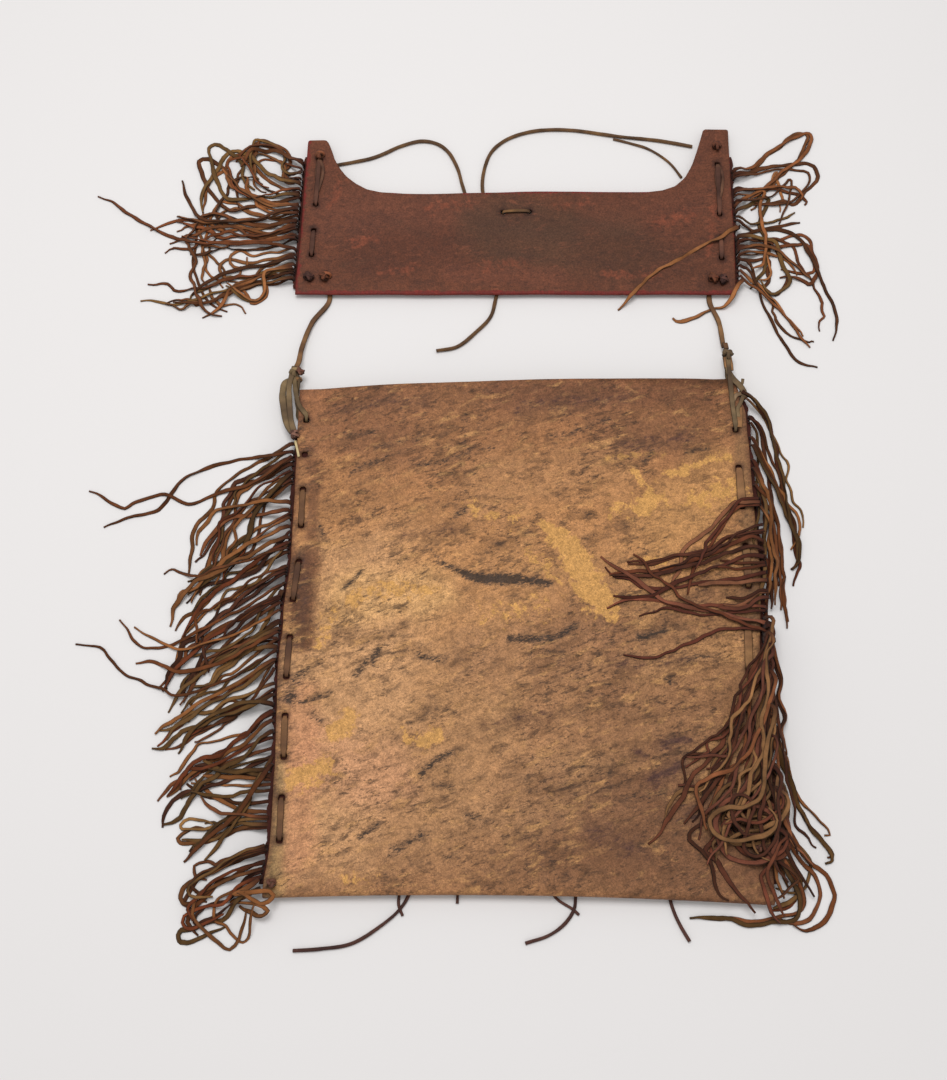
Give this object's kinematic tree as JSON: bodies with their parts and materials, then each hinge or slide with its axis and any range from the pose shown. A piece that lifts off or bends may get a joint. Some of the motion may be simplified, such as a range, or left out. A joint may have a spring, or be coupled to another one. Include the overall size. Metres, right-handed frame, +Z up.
{
  "type": "parfleche envelope",
  "caption": "Flat folded rawhide pouch laced along both sides with long buckskin fringes and a horned, fringed cover panel tied to its upper corners.",
  "frame": {"origin": "on the ground under the middle of the pouch, on the flat underside of its front sheet", "axes": "+Z up through the thickness, +Y from the fold of the pouch to its mouth and on to the cover panel, +X to the right seen from above"},
  "size_m": [0.5226, 0.5676, 0.021],
  "materials": {
    "pouch_rawhide": "smooth scraped rawhide, tan with brown bands",
    "panel_rawhide": "smooth rawhide, red brown",
    "buckskin": "matt smoked buckskin",
    "thong": "matt olive brown hide"
  },
  "bodies": {
    "pouch": {"pouch_shell": "pouch_rawhide", "left_fringe": "buckskin", "right_fringe": "buckskin", "left_lacing": "thong", "right_lacing": "thong", "left_corner_strap": "thong", "right_corner_strap": "thong", "front_tie_long": "thong", "front_tie_middle": "thong", "front_tie_right": "thong"},
    "panel": {"cover_panel": "panel_rawhide", "panel_left_fringe": "buckskin", "panel_right_fringe": "buckskin", "panel_left_lacing": "thong", "panel_right_lacing": "thong", "left_tie_thong": "thong", "right_tie_thong": "thong", "carry_stitch": "thong", "carry_thong_left": "thong", "carry_thong_right": "thong", "carry_thong_tail": "thong", "carry_thong_end": "thong"}
  },
  "joints": [
    {"name": "cover_panel_swing", "type": "hinge", "parent": "pouch", "child": "panel", "pos_m": [-0.1454, 0.1685, 0.01], "axis": [0.9989, 0.0472, 0], "range_deg": [0, 165]}
  ]
}
